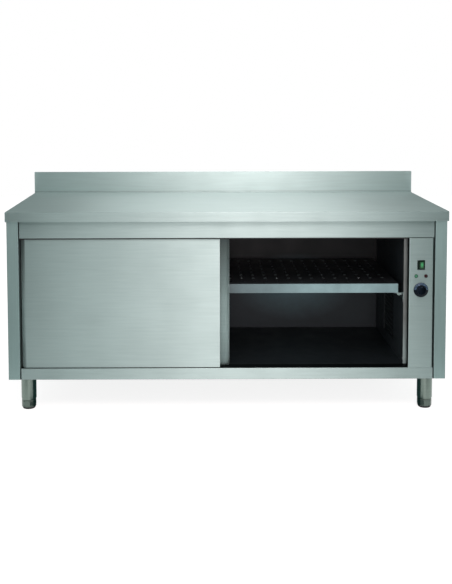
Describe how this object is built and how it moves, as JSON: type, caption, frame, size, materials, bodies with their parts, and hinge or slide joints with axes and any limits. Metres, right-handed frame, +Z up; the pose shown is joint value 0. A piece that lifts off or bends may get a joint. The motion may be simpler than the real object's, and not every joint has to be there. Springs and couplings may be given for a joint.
{
  "type": "plate warmer cabinet",
  "caption": "Heated stainless steel cupboard with a worktop and splashback, overlapping sliding doors, a perforated shelf, a fan heater and screw-adjustable feet.",
  "frame": {"origin": "on the floor, under the middle of the cabinet's footprint", "axes": "+X to the right along the front, +Y to the back, +Z up"},
  "size_m": [1.8, 0.7, 0.925],
  "materials": {
    "brushed_stainless": "fine horizontal brushing",
    "mill_stainless": "dull rolled sheet",
    "plated_steel": "zinc plated",
    "track_aluminium": "drawn section",
    "chipboard": "raw board",
    "mineral_wool": "mineral wool slab",
    "black_rubber": "matt",
    "black_nylon": "moulded",
    "white_nylon": "moulded",
    "bearing_steel": "ground, sealed ball bearings run as rollers",
    "foot_steel": "knurled, with a dark plastic sole",
    "black_gloss": "moulded, semi-gloss",
    "green_lens": "lit lens",
    "red_lens": "unlit lens",
    "spindle_brass": "turned",
    "element_steel": "heat tinted sheath",
    "motor_paint": "enamel"
  },
  "bodies": {
    "cabinet": {"worktop": "brushed_stainless", "worktop_board": "chipboard", "top_stretchers": "mill_stainless", "side_panel_left": "brushed_stainless", "side_panel_right": "brushed_stainless", "back_panel": "mill_stainless", "base_pan": "mill_stainless", "top_rail": "brushed_stainless", "bottom_rail": "brushed_stainless", "control_panel": "brushed_stainless", "liner_left": "mill_stainless", "liner_right": "mill_stainless", "liner_back": "mill_stainless", "liner_floor": "mill_stainless", "liner_ceiling": "mill_stainless", "insulation": "mineral_wool", "door_track": "track_aluminium", "floor_guide": "black_nylon", "door_buffers": "black_rubber", "shelf_runner_left": "brushed_stainless", "shelf_runner_right": "brushed_stainless", "runner_screws": "plated_steel", "leg_plates": "mill_stainless", "leg_nuts": "plated_steel", "leg_sleeves": "brushed_stainless", "switch_housing": "black_gloss", "pilot_lamp_green": "green_lens", "pilot_lamp_red": "red_lens", "thermostat_body": "white_nylon", "heater_housing": "plated_steel", "heater_element": "element_steel", "fan_motor": "motor_paint", "air_grille": "brushed_stainless", "terminal_block": "white_nylon", "cable_gland": "black_nylon"},
    "left_door": {"left_door_skin": "brushed_stainless", "left_door_back": "mill_stainless", "left_door_core": "mineral_wool", "left_door_hangers": "plated_steel", "left_door_channel": "mill_stainless"},
    "right_door": {"right_door_skin": "brushed_stainless", "right_door_back": "mill_stainless", "right_door_core": "mineral_wool", "right_door_hangers": "plated_steel", "right_door_channel": "mill_stainless"},
    "left_roller_1": {"roller_left_1": "bearing_steel"},
    "left_roller_2": {"roller_left_2": "bearing_steel"},
    "right_roller_1": {"roller_right_1": "bearing_steel"},
    "right_roller_2": {"roller_right_2": "bearing_steel"},
    "shelf": {"shelf": "brushed_stainless"},
    "switch_rocker": {"switch_rocker": "green_lens"},
    "thermostat_knob": {"thermostat_knob": "black_gloss", "thermostat_spindle": "spindle_brass"},
    "fan": {"fan_rotor": "plated_steel"},
    "foot_front_left": {"foot_front_left": "foot_steel"},
    "foot_front_right": {"foot_front_right": "foot_steel"},
    "foot_rear_left": {"foot_rear_left": "foot_steel"},
    "foot_rear_right": {"foot_rear_right": "foot_steel"}
  },
  "joints": [
    {"name": "left_door_slide", "type": "slide", "parent": "cabinet", "child": "left_door", "axis": [1, 0, 0], "range_m": [0, 0.77]},
    {"name": "right_door_slide", "type": "slide", "parent": "cabinet", "child": "right_door", "axis": [1, 0, 0], "range_m": [-0.0395, 0.7385]},
    {"name": "left_roller_1_turn", "type": "hinge", "parent": "left_door", "child": "left_roller_1", "pos_m": [-0.754, -0.308, 0.75], "axis": [0, 1, 0], "continuous": true},
    {"name": "left_roller_2_turn", "type": "hinge", "parent": "left_door", "child": "left_roller_2", "pos_m": [-0.119, -0.308, 0.75], "axis": [0, 1, 0], "continuous": true},
    {"name": "right_roller_1_turn", "type": "hinge", "parent": "right_door", "child": "right_roller_1", "pos_m": [-0.714, -0.283, 0.75], "axis": [0, 1, 0], "continuous": true},
    {"name": "right_roller_2_turn", "type": "hinge", "parent": "right_door", "child": "right_roller_2", "pos_m": [-0.079, -0.283, 0.75], "axis": [0, 1, 0], "continuous": true},
    {"name": "shelf_lift", "type": "slide", "parent": "cabinet", "child": "shelf", "axis": [0, 0, 1], "range_m": [0, 0.2]},
    {"name": "power_switch", "type": "hinge", "parent": "cabinet", "child": "switch_rocker", "pos_m": [0.796, -0.328, 0.602], "axis": [1, 0, 0], "range_deg": [-14, 0]},
    {"name": "thermostat_turn", "type": "hinge", "parent": "cabinet", "child": "thermostat_knob", "pos_m": [0.7935, -0.34, 0.499], "axis": [0, 1, 0], "range_deg": [0, 270]},
    {"name": "fan_turn", "type": "hinge", "parent": "cabinet", "child": "fan", "pos_m": [0.787, 0.025, 0.32], "axis": [1, 0, 0], "continuous": true},
    {"name": "foot_front_left_level", "type": "slide", "parent": "cabinet", "child": "foot_front_left", "axis": [0, 0, -1], "range_m": [0, 0.045]},
    {"name": "foot_front_right_level", "type": "slide", "parent": "cabinet", "child": "foot_front_right", "axis": [0, 0, -1], "range_m": [0, 0.045]},
    {"name": "foot_rear_left_level", "type": "slide", "parent": "cabinet", "child": "foot_rear_left", "axis": [0, 0, -1], "range_m": [0, 0.045]},
    {"name": "foot_rear_right_level", "type": "slide", "parent": "cabinet", "child": "foot_rear_right", "axis": [0, 0, -1], "range_m": [0, 0.045]}
  ],
  "couplings": [
    {"joint": "left_roller_1_turn", "follows": "left_door_slide", "rad_per_m": 83.333},
    {"joint": "left_roller_2_turn", "follows": "left_door_slide", "rad_per_m": 83.333},
    {"joint": "right_roller_1_turn", "follows": "right_door_slide", "rad_per_m": 83.333},
    {"joint": "right_roller_2_turn", "follows": "right_door_slide", "rad_per_m": 83.333}
  ]
}
